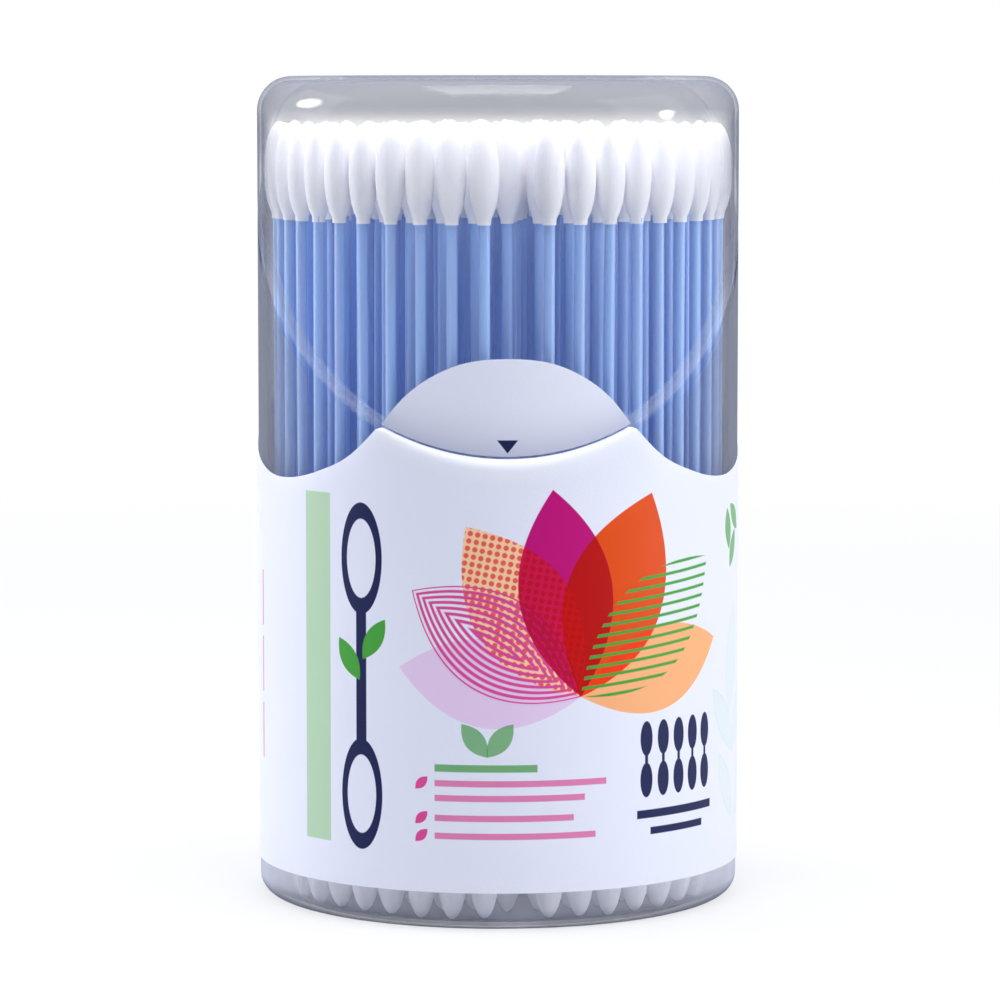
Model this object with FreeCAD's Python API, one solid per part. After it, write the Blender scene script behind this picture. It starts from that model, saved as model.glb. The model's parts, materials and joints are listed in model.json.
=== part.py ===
"""Clear round tub of cotton swabs with a slanted lid on a moulded hinge.

Frame: millimetres, +Z up, origin at the middle of the base, front towards -Y.
The tub and its lid are one drum, cut apart by a slanted plane that is low at the front
and meets the flat top in a straight line. The lid turns about that line.
"""

import FreeCAD, Part
import math
import os

from BOPTools import SplitAPI
from FreeCAD import Rotation, Vector

# Drum
TUB_RADIUS = 23.5
HEADSPACE = 3.95
WALL = 0.4
TOP_ROUND = 3.33
BASE_ROUND = 1.9
FLOOR_TOP = 0.7
FLOOR_ROUND = 1.2
BASE_RECESS = 0.3
STANDING_RING_INSET = 3.2
RECESS_SLOPE = 0.5
# A rounded corner is turned from this many short flats, which keeps the thin shells light
SHOULDER_FLAT_COUNT = 4
INNER_SHOULDER_FLAT_COUNT = 2
BASE_FLAT_COUNT = 3

# Slanted cut between tub and lid
SEAM_FRONT_HEIGHT = 44.1
HINGE_OFFSET = 12.76
SEAM_GAP = 0.1

# Push spot: the lid's front wall draws in on its last stretch above the cut
DISH_RISE = 10.5
DISH_DEPTH = 0.6
DISH_FLAT_COUNT = 2

# Bead inside the tub's rim, which the lid's foot stands on
BEAD_WIDTH = 0.75
BEAD_DEPTH = 1.2
BEAD_BUD_CLEARANCE = 1.6

# Moulded hinge strip
HINGE_END_INSET = 0.6
HINGE_HALF_WIDTH = 0.6
HINGE_THICKNESS = 0.25

# Printed films
FILM = 0.1
GLUE = 0.03
LABEL_BOTTOM = 3.7
LABEL_RIM_CLEARANCE = 0.15
LENS_SEAM_CLEARANCE = 0.1
LABEL_LAP_ANGLE = 9.0
LABEL_LAP_START = 172.0
DIE_KNIFE_REACH = 2.0
# Angle from the front, and rise over the low point of the slanted cut, of points on the die-cut
# top edge, which is the same to the left and to the right
LABEL_EDGE = [
    (0.0, 9.94),
    (14.0, 8.94),
    (24.5, 6.14),
    (31.0, 3.29),
    (38.0, 0.74),
    (49.0, -1.21),
    (65.0, -2.16),
    (80.0, -1.11),
    (95.0, 1.19),
    (110.0, 4.09),
    (130.0, 7.19),
    (155.0, 9.29),
    (180.0, 9.94),
]

# Swabs
SWAB_LENGTH = 75.1
STICK_DIAMETER = 1.0
BUD_DIAMETER = 2.95
BUD_LENGTH = 9.4
BUD_TIP_DIAMETER = 1.1
BUD_GAP = 0.11
BUD_WALL_CLEARANCE = 0.175
# Angle of the first swab of each row, from the outer row to the middle one. The rows are turned so
# that the swabs behind show between those in front. The outer row's first place is empty.
FIRST_ANGLES = [2.5, 0.6, 3.3, 9.6, 28.7, 0.0]

# Sides of the small solids: the outer row's sticks and upper buds are open to view, and the other
# ones are plainer
OUTER_SIDES = 6
INNER_SIDES = 4
# Shares of a bud's length where it is full; the outer row's upper buds show their barrel
FULL_AT_SHOWN = [0.22, 0.66]
FULL_AT = [0.4]

TUB_HEIGHT = FLOOR_TOP + SWAB_LENGTH + HEADSPACE + WALL
INNER_RADIUS = TUB_RADIUS - WALL
OUTER_ROW_RADIUS = INNER_RADIUS - BUD_WALL_CLEARANCE - BUD_DIAMETER / 2
UPPER_BUD_BASE = FLOOR_TOP + SWAB_LENGTH - BUD_LENGTH
SEAM_ANGLE = math.degrees(math.atan2(TUB_HEIGHT - SEAM_FRONT_HEIGHT, HINGE_OFFSET + TUB_RADIUS))
FLAT_TOP_RADIUS = TUB_RADIUS - TOP_ROUND
HINGE_HALF_LENGTH = math.sqrt(FLAT_TOP_RADIUS ** 2 - HINGE_OFFSET ** 2) - HINGE_END_INSET
REACH = 2 * (TUB_HEIGHT + TUB_RADIUS)
ROW_COUNT = len(FIRST_ANGLES)
AXIS = Vector(0, 0, 1)
ORIGIN = Vector(0, 0, 0)


def at(radius, height):
    """Point of a profile, in the plane that is turned about the axis."""
    return Vector(radius, 0, height)


def corner(centre, radius, start, end, flats):
    """Points of a rounded corner about its centre, from one angle to the other."""
    points = []
    for step in range(flats + 1):
        turn = math.radians(start + (end - start) * step / flats)
        points.append(centre + at(radius * math.cos(turn), radius * math.sin(turn)))
    return points


def turned(points):
    """Solid of a closed profile turned about the tub's axis."""
    profile = Part.Face(Part.makePolygon(points + points[:1]))
    return profile.revolve(ORIGIN, AXIS, 360)


def drum(radius, bottom, bottom_corner, top, top_corner):
    """Solid drum with a rounded lower edge and a rounded shoulder; a corner is (radius, flats)."""
    low_round, low_flats = bottom_corner
    high_round, high_flats = top_corner
    low_centre = at(radius - low_round, bottom + low_round)
    high_centre = at(radius - high_round, top - high_round)
    points = [at(0, bottom)]
    points += corner(low_centre, low_round, -90, 0, low_flats)
    points += corner(high_centre, high_round, 0, 90, high_flats)
    points.append(at(0, top))
    return turned(points)


def lid_form(offset, shoulder_flats=SHOULDER_FLAT_COUNT):
    """Solid drum of the lid, moved outwards by the offset: a shoulder above, the dish below.

    From DISH_RISE over the low point of the cut down to it, the front wall bends in by DISH_DEPTH.
    """
    bend = (DISH_RISE ** 2 + DISH_DEPTH ** 2) / (2 * DISH_DEPTH)
    spread = math.degrees(math.asin(DISH_RISE / bend))
    dish_centre = at(TUB_RADIUS - bend, SEAM_FRONT_HEIGHT + DISH_RISE)
    dish = corner(dish_centre, bend + offset, -spread, 0, DISH_FLAT_COUNT)
    shoulder_centre = at(FLAT_TOP_RADIUS, TUB_HEIGHT - TOP_ROUND)
    shoulder = corner(shoulder_centre, TOP_ROUND + offset, 0, 90, shoulder_flats)
    return turned([at(0, dish[0].z)] + dish + shoulder + [at(0, shoulder[-1].z)])


def ring(inner, outer, bottom, top):
    whole = Part.makeCylinder(outer, top - bottom, Vector(0, 0, bottom))
    return whole.cut(Part.makeCylinder(inner, top - bottom, Vector(0, 0, bottom)))


def above_seam(offset):
    """Block of space above the slanted cut, moved square to it by the offset."""
    block = Part.makeBox(REACH, 2 * REACH, REACH, Vector(-REACH / 2, -REACH, offset))
    block.Placement = FreeCAD.Placement(
        Vector(0, HINGE_OFFSET, TUB_HEIGHT), Rotation(Vector(1, 0, 0), SEAM_ANGLE)
    )
    return block


def hinge_slot(extra):
    """Space of the hinge strip; the extra width on the lid's side is its running gap."""
    width = 2 * HINGE_HALF_WIDTH + extra
    corner_point = Vector(-HINGE_HALF_LENGTH, HINGE_OFFSET - HINGE_HALF_WIDTH - extra, TUB_HEIGHT - 2 * WALL)
    return Part.makeBox(2 * HINGE_HALF_LENGTH, width, 3 * WALL, corner_point)


def rim_bead():
    """Bead inside the tub's rim, below the cut and below the upper buds."""
    inner = INNER_RADIUS - BEAD_WIDTH
    bottom = SEAM_FRONT_HEIGHT - 2 * BEAD_DEPTH
    band = ring(inner, INNER_RADIUS + WALL / 2, bottom, UPPER_BUD_BASE - BEAD_BUD_CLEARANCE)
    return band.cut(above_seam(0)).common(above_seam(-BEAD_DEPTH))


def recess():
    """Shallow hollow under the base, with a sloped edge, which leaves a standing ring."""
    radius = TUB_RADIUS - STANDING_RING_INSET
    return Part.makeCone(radius, radius - RECESS_SLOPE, BASE_RECESS)


def tub_body():
    outside = drum(TUB_RADIUS, 0, (BASE_ROUND, BASE_FLAT_COUNT), TUB_HEIGHT, (TOP_ROUND, SHOULDER_FLAT_COUNT))
    ceiling = TUB_HEIGHT - WALL
    shoulder = (TOP_ROUND - WALL, INNER_SHOULDER_FLAT_COUNT)
    inside = drum(INNER_RADIUS, FLOOR_TOP, (FLOOR_ROUND, 1), ceiling, shoulder)
    shell = outside.cut(inside).cut(recess()).cut(above_seam(0))
    shell = shell.fuse(rim_bead()).removeSplitter()
    return shell.cut(hinge_slot(0)).Solids[0]


def lid():
    shell = lid_form(0).cut(lid_form(-WALL, INNER_SHOULDER_FLAT_COUNT))
    shell = shell.common(above_seam(SEAM_GAP))
    return shell.cut(hinge_slot(SEAM_GAP)).Solids[0]


def hinge_web():
    corner_point = Vector(-HINGE_HALF_LENGTH, HINGE_OFFSET - HINGE_HALF_WIDTH, TUB_HEIGHT - HINGE_THICKNESS)
    return Part.makeBox(2 * HINGE_HALF_LENGTH, 2 * HINGE_HALF_WIDTH, HINGE_THICKNESS, corner_point)


def edge_curve(radius):
    """Closed smooth curve of the film's die-cut top edge, wrapped on a cylinder."""
    left = [(360 - angle, rise) for angle, rise in reversed(LABEL_EDGE[1:-1])]
    points = []
    for angle, rise in LABEL_EDGE + left:
        turn = math.radians(angle)
        height = SEAM_FRONT_HEIGHT + rise
        points.append(Vector(radius * math.sin(turn), -radius * math.cos(turn), height))
    curve = Part.BSplineCurve()
    curve.interpolate(Points=points, PeriodicFlag=True)
    return curve.toShape()


def below_die_cut(film):
    """The piece of a film that lies under the wavy die-cut line."""
    inside, outside = TUB_RADIUS - DIE_KNIFE_REACH, TUB_RADIUS + DIE_KNIFE_REACH
    knife = Part.makeRuledSurface(edge_curve(inside), edge_curve(outside))
    pieces = SplitAPI.slice(film, [knife], "Split").Solids
    return min(pieces, key=lambda piece: piece.CenterOfMass.z)


def body_label():
    inner = TUB_RADIUS + GLUE
    outer = inner + FILM
    top = TUB_HEIGHT - TOP_ROUND
    film = ring(inner, outer, LABEL_BOTTOM, top)
    lap = ring(outer - FILM / 2, outer + FILM, LABEL_BOTTOM, top)
    wedge = Part.makeCylinder(2 * TUB_RADIUS, top, ORIGIN, AXIS, LABEL_LAP_ANGLE)
    wedge.rotate(ORIGIN, AXIS, LABEL_LAP_START - 90)
    film = film.fuse(lap.common(wedge)).removeSplitter()
    film = below_die_cut(film.Solids[0])
    return film.cut(above_seam(-LABEL_RIM_CLEARANCE)).Solids[0]


def lid_label():
    film = lid_form(GLUE + FILM).cut(lid_form(GLUE))
    front = Part.makeBox(REACH, REACH, TUB_HEIGHT - TOP_ROUND, Vector(-REACH / 2, -REACH, 0))
    film = film.common(front).common(above_seam(SEAM_GAP + LENS_SEAM_CLEARANCE))
    film = below_die_cut(film.Solids[0])
    return film.Solids[0]


def prism_stack(sides, rings):
    """Solid of flat faces through level rings of (diameter, height), lowest first."""
    loops = []
    for diameter, height in rings:
        loop = []
        for step in range(sides):
            turn = 2 * math.pi * (step + 0.5) / sides
            loop.append(Vector(diameter / 2 * math.cos(turn), diameter / 2 * math.sin(turn), height))
        loops.append(loop)
    faces = [Part.Face(Part.makePolygon(loop + loop[:1])) for loop in (loops[0], loops[-1])]
    for low, high in zip(loops, loops[1:]):
        for step in range(sides):
            after = (step + 1) % sides
            patch = [low[step], low[after], high[after], high[step], low[step]]
            faces.append(Part.Face(Part.makePolygon(patch)))
    return Part.Solid(Part.Shell(faces))


def bud_rings(full_at):
    """Rings of a bud from its free end to the stick, full at the given shares of its length."""
    full = [(BUD_DIAMETER, share * BUD_LENGTH) for share in full_at]
    return [(BUD_TIP_DIAMETER, 0)] + full + [(BUD_TIP_DIAMETER, BUD_LENGTH)]


def lower_bud():
    rings = [(diameter, FLOOR_TOP + height) for diameter, height in bud_rings(FULL_AT)]
    return prism_stack(INNER_SIDES, rings)


def upper_bud(outer_row):
    sides = OUTER_SIDES if outer_row else INNER_SIDES
    top = FLOOR_TOP + SWAB_LENGTH
    full_at = FULL_AT_SHOWN if outer_row else FULL_AT
    rings = [(diameter, top - height) for diameter, height in reversed(bud_rings(full_at))]
    return prism_stack(sides, rings)


def stick(outer_row):
    sides = OUTER_SIDES if outer_row else INNER_SIDES
    return prism_stack(sides, [(STICK_DIAMETER, FLOOR_TOP + BUD_LENGTH), (STICK_DIAMETER, UPPER_BUD_BASE)])


def row_radius(row):
    return OUTER_ROW_RADIUS * (1 - row / (ROW_COUNT - 1))


def row_places(row):
    """Angles from the front and radius of the swabs of one row, as many as fit side by side."""
    radius = row_radius(row)
    pitch = BUD_DIAMETER + BUD_GAP
    if radius < pitch:
        return [(0, 0)]
    count = int(math.pi / math.asin(pitch / 2 / radius))
    angles = [FIRST_ANGLES[row] + 360 * step / count for step in range(count)]
    if row == 0:
        angles.pop(0)
    return [(angle, radius) for angle in angles]


def planted(piece, places):
    """Group of copies of one piece, one at each place, each turned with its place."""
    copies = []
    for angle, radius in places:
        one = piece.copy()
        one.translate(Vector(0, -radius, 0))
        one.rotate(ORIGIN, AXIS, angle)
        copies.append(one)
    return Part.makeCompound(copies)


def swab_nodes():
    nodes = {}
    for row in range(ROW_COUNT):
        places = row_places(row)
        outer_row = row == 0
        name = "centre" if row == ROW_COUNT - 1 else f"row_{row + 1}"
        plural = "" if row == ROW_COUNT - 1 else "s"
        nodes[f"{name}_stick{plural}"] = planted(stick(outer_row), places)
        nodes[f"{name}_upper_bud{plural}"] = planted(upper_bud(outer_row), places)
        nodes[f"{name}_lower_bud{plural}"] = planted(lower_bud(), places)
    return nodes


def main():
    os.makedirs("parts", exist_ok=True)
    nodes = {
        "tub_body": tub_body(),
        "lid": lid(),
        "hinge_web": hinge_web(),
        "body_label": body_label(),
        "lid_label": lid_label(),
    }
    nodes.update(swab_nodes())
    for name, shape in nodes.items():
        shape.exportStep(f"parts/{name}.step")


main()
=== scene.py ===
"""Dressed model of a clear round tub of cotton swabs with a slanted, hinged lid.

Frame: metres, +Z up, origin at the middle of the base, front towards -Y. Sizes are written in
millimetres times MM. An angle about the tub's axis is counted from the front, to the right.
"""

import json
import logging
import math
from dataclasses import dataclass
from enum import Enum

import bpy
import numpy as np
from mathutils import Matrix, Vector


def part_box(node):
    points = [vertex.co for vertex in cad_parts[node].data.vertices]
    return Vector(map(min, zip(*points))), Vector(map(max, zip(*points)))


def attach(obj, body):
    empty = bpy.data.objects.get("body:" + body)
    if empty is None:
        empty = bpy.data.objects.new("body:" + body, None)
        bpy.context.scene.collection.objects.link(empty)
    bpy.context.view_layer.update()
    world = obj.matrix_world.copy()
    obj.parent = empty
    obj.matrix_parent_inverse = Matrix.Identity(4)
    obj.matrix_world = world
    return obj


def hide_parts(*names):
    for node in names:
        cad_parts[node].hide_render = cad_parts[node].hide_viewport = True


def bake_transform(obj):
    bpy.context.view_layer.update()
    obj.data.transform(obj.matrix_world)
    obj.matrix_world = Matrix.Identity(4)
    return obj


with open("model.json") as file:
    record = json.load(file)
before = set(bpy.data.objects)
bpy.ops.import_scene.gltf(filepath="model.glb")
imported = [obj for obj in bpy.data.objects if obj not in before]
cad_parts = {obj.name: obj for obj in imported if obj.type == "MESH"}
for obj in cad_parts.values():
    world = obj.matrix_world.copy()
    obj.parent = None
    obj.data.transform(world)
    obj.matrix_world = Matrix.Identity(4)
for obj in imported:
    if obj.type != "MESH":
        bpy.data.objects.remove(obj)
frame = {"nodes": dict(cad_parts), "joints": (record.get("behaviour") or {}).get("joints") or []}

LOG = logging.getLogger("swab_tub")
MM = 0.001
Colour = tuple[float, float, float]

# Size of the cells in which points count as one, and twice the area, in square metres, up to
# which a triangle counts as flat
SAME_POINT = 0.002 * MM
FLAT = 1e-14


def srgb(red: int, green: int, blue: int) -> Colour:
    """Turn a screen colour of 0 to 255 into the linear colour that a shader takes.

    Args:
        red: Red share.
        green: Green share.
        blue: Blue share.

    Returns:
        Linear red, green and blue.
    """
    shares = np.array([red, green, blue]) / 255
    linear = np.where(shares <= 0.04045, shares / 12.92, ((shares + 0.055) / 1.055) ** 2.4)
    return tuple(float(share) for share in linear)


def opaque(colour: Colour) -> tuple[float, float, float, float]:
    """Give a colour its fourth number, as sockets take it."""
    return (*colour, 1.0)


class Body(Enum):
    """Bodies of the tub that pieces move with."""

    TUB = "tub"
    LID = "lid"


class Slot(Enum):
    """Material slots of the record."""

    CLEAR = "clear_plastic"
    FILM = "label_film"
    STICK = "stick"
    COTTON = "cotton"


class Value:
    """Number that a shader works out, so that maths on it reads as an expression."""

    def __init__(self, graph: "Graph", socket: bpy.types.NodeSocket) -> None:
        """Wrap an output socket of the graph."""
        self.graph = graph
        self.socket = socket

    def maths(self, operation: str, *others: "Value | float", clamp: bool = False) -> "Value":
        """Add one Math node on this number.

        Args:
            operation: The node's operation.
            others: Its further inputs.
            clamp: Whether the result stays between 0 and 1.

        Returns:
            The node's result.
        """
        inputs = dict(enumerate((self, *others)))
        settings = {"operation": operation, "use_clamp": clamp}
        return Value(self.graph, self.graph.node("ShaderNodeMath", settings, inputs).outputs[0])

    def __add__(self, other: "Value | float") -> "Value":
        """Sum."""
        return self.maths("ADD", other)

    __radd__ = __add__

    def __mul__(self, other: "Value | float") -> "Value":
        """Product."""
        return self.maths("MULTIPLY", other)

    __rmul__ = __mul__

    def __sub__(self, other: "Value | float") -> "Value":
        """Difference."""
        return self.maths("SUBTRACT", other)

    def __rsub__(self, other: float) -> "Value":
        """Difference from a plain number."""
        return (self * -1.0).maths("ADD", other)

    def __pow__(self, power: float) -> "Value":
        """Power."""
        return self.maths("POWER", power)

    def __abs__(self) -> "Value":
        """Size without its sign."""
        return self.maths("ABSOLUTE")

    def __and__(self, other: "Value | float") -> "Value":
        """Smaller of two, which is where two masks meet."""
        return self.maths("MINIMUM", other)

    def __or__(self, other: "Value | float") -> "Value":
        """Larger of two, which joins two masks."""
        return self.maths("MAXIMUM", other)

    def edge(self, soft: float) -> "Value":
        """Mask that is 1 where this number is above 0 and 0 below, over a soft step."""
        return self.maths("MULTIPLY_ADD", 1 / soft, 0.5, clamp=True)

    def wave(self, pitch: float) -> "Value":
        """Distance to the nearest whole multiple of the pitch."""
        return self.maths("PINGPONG", pitch / 2)


class Graph:
    """Node tree of one material or world, with one method that adds any node."""

    def __init__(self, owner: bpy.types.Material | bpy.types.World) -> None:
        """Empty the owner's node tree.

        Args:
            owner: The material or world.
        """
        self.owner = owner
        self.owner.use_nodes = True
        self.tree = self.owner.node_tree
        self.tree.nodes.clear()

    @classmethod
    def of_material(cls, name: str) -> "Graph":
        """Start a new material of that name."""
        return cls(bpy.data.materials.new(name))

    def node(
        self, kind: str, settings: dict | None = None, inputs: dict | None = None,
    ) -> bpy.types.Node:
        """Add one node, with its settings first and then its sockets.

        Args:
            kind: The node's type.
            settings: Its properties by name.
            inputs: Values, sockets or numbers by the input's name or place.

        Returns:
            The new node.
        """
        made = self.tree.nodes.new(kind)
        for name, setting in (settings or {}).items():
            setattr(made, name, setting)
        for key, given in (inputs or {}).items():
            given = given.socket if isinstance(given, Value) else given
            if isinstance(given, bpy.types.NodeSocket):
                self.tree.links.new(given, made.inputs[key])
            else:
                made.inputs[key].default_value = given
        return made

    def value(
        self, kind: str, output: str, settings: dict | None = None, inputs: dict | None = None,
    ) -> Value:
        """Add a node and wrap one of its outputs."""
        return Value(self, self.node(kind, settings, inputs).outputs[output])

    def place(self, source: str) -> tuple[Value, Value, Value]:
        """Split a coordinate into its three numbers.

        Args:
            source: Output of Texture Coordinate, Object or UV.

        Returns:
            The three numbers.
        """
        split = self.node(
            "ShaderNodeSeparateXYZ", None, {0: self.node("ShaderNodeTexCoord").outputs[source]}
        )
        return tuple(Value(self, socket) for socket in split.outputs)

    def mix(
        self, below: Colour | bpy.types.NodeSocket, above: Colour | bpy.types.NodeSocket,
        mask: Value | float, mode: str = "MIX",
    ) -> bpy.types.NodeSocket:
        """Lay one colour over another where the mask is 1.

        Args:
            below: Colour or socket underneath.
            above: Colour or socket on top.
            mask: Share of the upper colour.
            mode: The Mix node's blend type.

        Returns:
            The mixed colour's socket.
        """
        below, above = (opaque(c) if isinstance(c, tuple) else c for c in (below, above))
        settings = {"data_type": "RGBA", "blend_type": mode, "clamp_factor": True}
        return self.node("ShaderNodeMix", settings, {0: mask, 6: below, 7: above}).outputs[2]

    def noise(self, scale: tuple[float, float, float], detail: float = 2.0) -> Value:
        """Add noise on object coordinates.

        Args:
            scale: Waves a metre along each axis.
            detail: How many finer layers it has.

        Returns:
            The noise, between 0 and 1.
        """
        coordinates = self.node("ShaderNodeTexCoord").outputs["Object"]
        inputs = {0: coordinates, 3: scale}
        stretched_coords_and_lip_highlight = self.node("ShaderNodeMapping", {"vector_type": "POINT"}, inputs)
        inputs = {"Vector": stretched_coords_and_lip_highlight.outputs[0], "Scale": 1.0, "Detail": detail}
        return self.value("ShaderNodeTexNoise", "Fac", None, inputs)

    def bump(self, height: Value, depth: float, strength: float) -> bpy.types.NodeSocket:
        """Turn a height of 0 to 1 into a normal, for relief of that depth in metres."""
        inputs = {"Strength": strength, "Distance": depth, "Height": height}
        return self.node("ShaderNodeBump", None, inputs).outputs[0]

    def surface(self, **inputs: object) -> bpy.types.Material:
        """End the material in one Principled shader.

        Args:
            inputs: The shader's inputs by name, with _ for a space.

        Returns:
            The finished material.
        """
        named = {
            key.replace("_", " "): opaque(given) if isinstance(given, tuple) else given
            for key, given in inputs.items()
        }
        shader = self.node("ShaderNodeBsdfPrincipled", None, named)
        self.node("ShaderNodeOutputMaterial", None, {"Surface": shader.outputs[0]})
        return self.owner


def outwards(points: np.ndarray, triangles: np.ndarray) -> np.ndarray:
    """Turn the faces of a closed shell outwards.

    The sign of the volume, a sixth of the sum of a . (b x c) over the triangles, says which way
    they point.

    Args:
        points: Points, one a row.
        triangles: Three point numbers a row.

    Returns:
        The triangles, all turned over if they pointed inwards.
    """
    a, b, c = points[triangles].transpose(1, 0, 2)
    volume = np.einsum("ij,ij->", a, np.cross(b, c))
    return triangles if volume > 0 else triangles[:, ::-1]


def merged(points: np.ndarray, triangles: np.ndarray) -> tuple[np.ndarray, np.ndarray]:
    """Join points that fall together, drop flat triangles and turn the shell outwards.

    Args:
        points: Points, one a row.
        triangles: Three point numbers a row.

    Returns:
        The joined points and the triangles that are left.
    """
    cells = np.round(points / SAME_POINT).astype(np.int64)
    _, first, number = np.unique(cells, axis=0, return_index=True, return_inverse=True)
    points, triangles = points[first], number.reshape(-1)[triangles]
    a, b, c = triangles.T
    triangles = triangles[(a != b) & (b != c) & (a != c)]
    return points, outwards(points, triangles)


def grid(rows: int, columns: int) -> np.ndarray:
    """Triangles between rows of points, each of which is a closed ring.

    Args:
        rows: Number of rows.
        columns: Points a row.

    Returns:
        Three point numbers a row, two triangles a cell.
    """
    row = np.arange(rows - 1)[:, None] * columns
    here = np.arange(columns)[None, :]
    after = (here + 1) % columns
    a, b, c, d = row + here, row + after, row + columns + after, row + columns + here
    return np.concatenate([np.stack(half, -1).reshape(-1, 3) for half in ((a, b, c), (a, c, d))])


def piece(
    name: str, points: np.ndarray, triangles: np.ndarray, finish: bpy.types.Material,
    sharp: float = 40.0, uv: np.ndarray | None = None,
) -> bpy.types.Object:
    """Put points and triangles into a smooth mesh object at the origin.

    Args:
        name: The piece's name.
        points: Points in metres, one a row.
        triangles: Three point numbers a row.
        finish: Its material.
        sharp: Angle in degrees past which an edge stays sharp.
        uv: Two numbers a point, for a pattern that follows the surface.

    Returns:
        The new object.
    """
    mesh = bpy.data.meshes.new(name)
    mesh.vertices.add(len(points))
    mesh.vertices.foreach_set("co", points.astype(np.float32).ravel())
    mesh.loops.add(triangles.size)
    mesh.loops.foreach_set("vertex_index", triangles.astype(np.int32).ravel())
    mesh.polygons.add(len(triangles))
    mesh.polygons.foreach_set("loop_start", np.arange(0, triangles.size, 3, dtype=np.int32))
    mesh.update(calc_edges=True)
    mesh.polygons.foreach_set("use_smooth", np.ones(len(triangles), bool))
    mesh.set_sharp_from_angle(angle=math.radians(sharp))
    if uv is not None:
        layer = mesh.uv_layers.new(name="print")
        layer.data.foreach_set("uv", uv[triangles.ravel()].astype(np.float32).ravel())
    mesh.materials.append(finish)
    mesh.validate()
    made = bpy.data.objects.new(name, mesh)
    bpy.context.scene.collection.objects.link(made)
    return made


def shell(
    name: str, rows: np.ndarray, finish: bpy.types.Material, sharp: float = 40.0,
) -> bpy.types.Object:
    """Make a closed piece from rings of points that follow each other.

    Args:
        name: The piece's name.
        rows: The rings, as (ring, point, xyz). The first and the last one fall together to a point.
        finish: Its material.
        sharp: Angle in degrees past which an edge stays sharp.

    Returns:
        The new object.
    """
    points, triangles = merged(rows.reshape(-1, 3), grid(*rows.shape[:2]))
    return piece(name, points, triangles, finish, sharp)


def arc(
    centre: tuple[float, float], radius: float, start: float, end: float, count: int,
) -> np.ndarray:
    """Points (distance from the axis, height) of a circular arc, from one angle to the other."""
    turn = np.radians(np.linspace(start, end, count))
    return np.stack([centre[0] + radius * np.cos(turn), centre[1] + radius * np.sin(turn)], -1)


def run(start: tuple[float, float], end: tuple[float, float], count: int) -> np.ndarray:
    """Points (distance from the axis, height) of a straight run, without its two ends."""
    share = np.linspace(0, 1, count + 2)[1:-1, None]
    return (1 - share) * np.array(start) + share * np.array(end)


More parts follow.
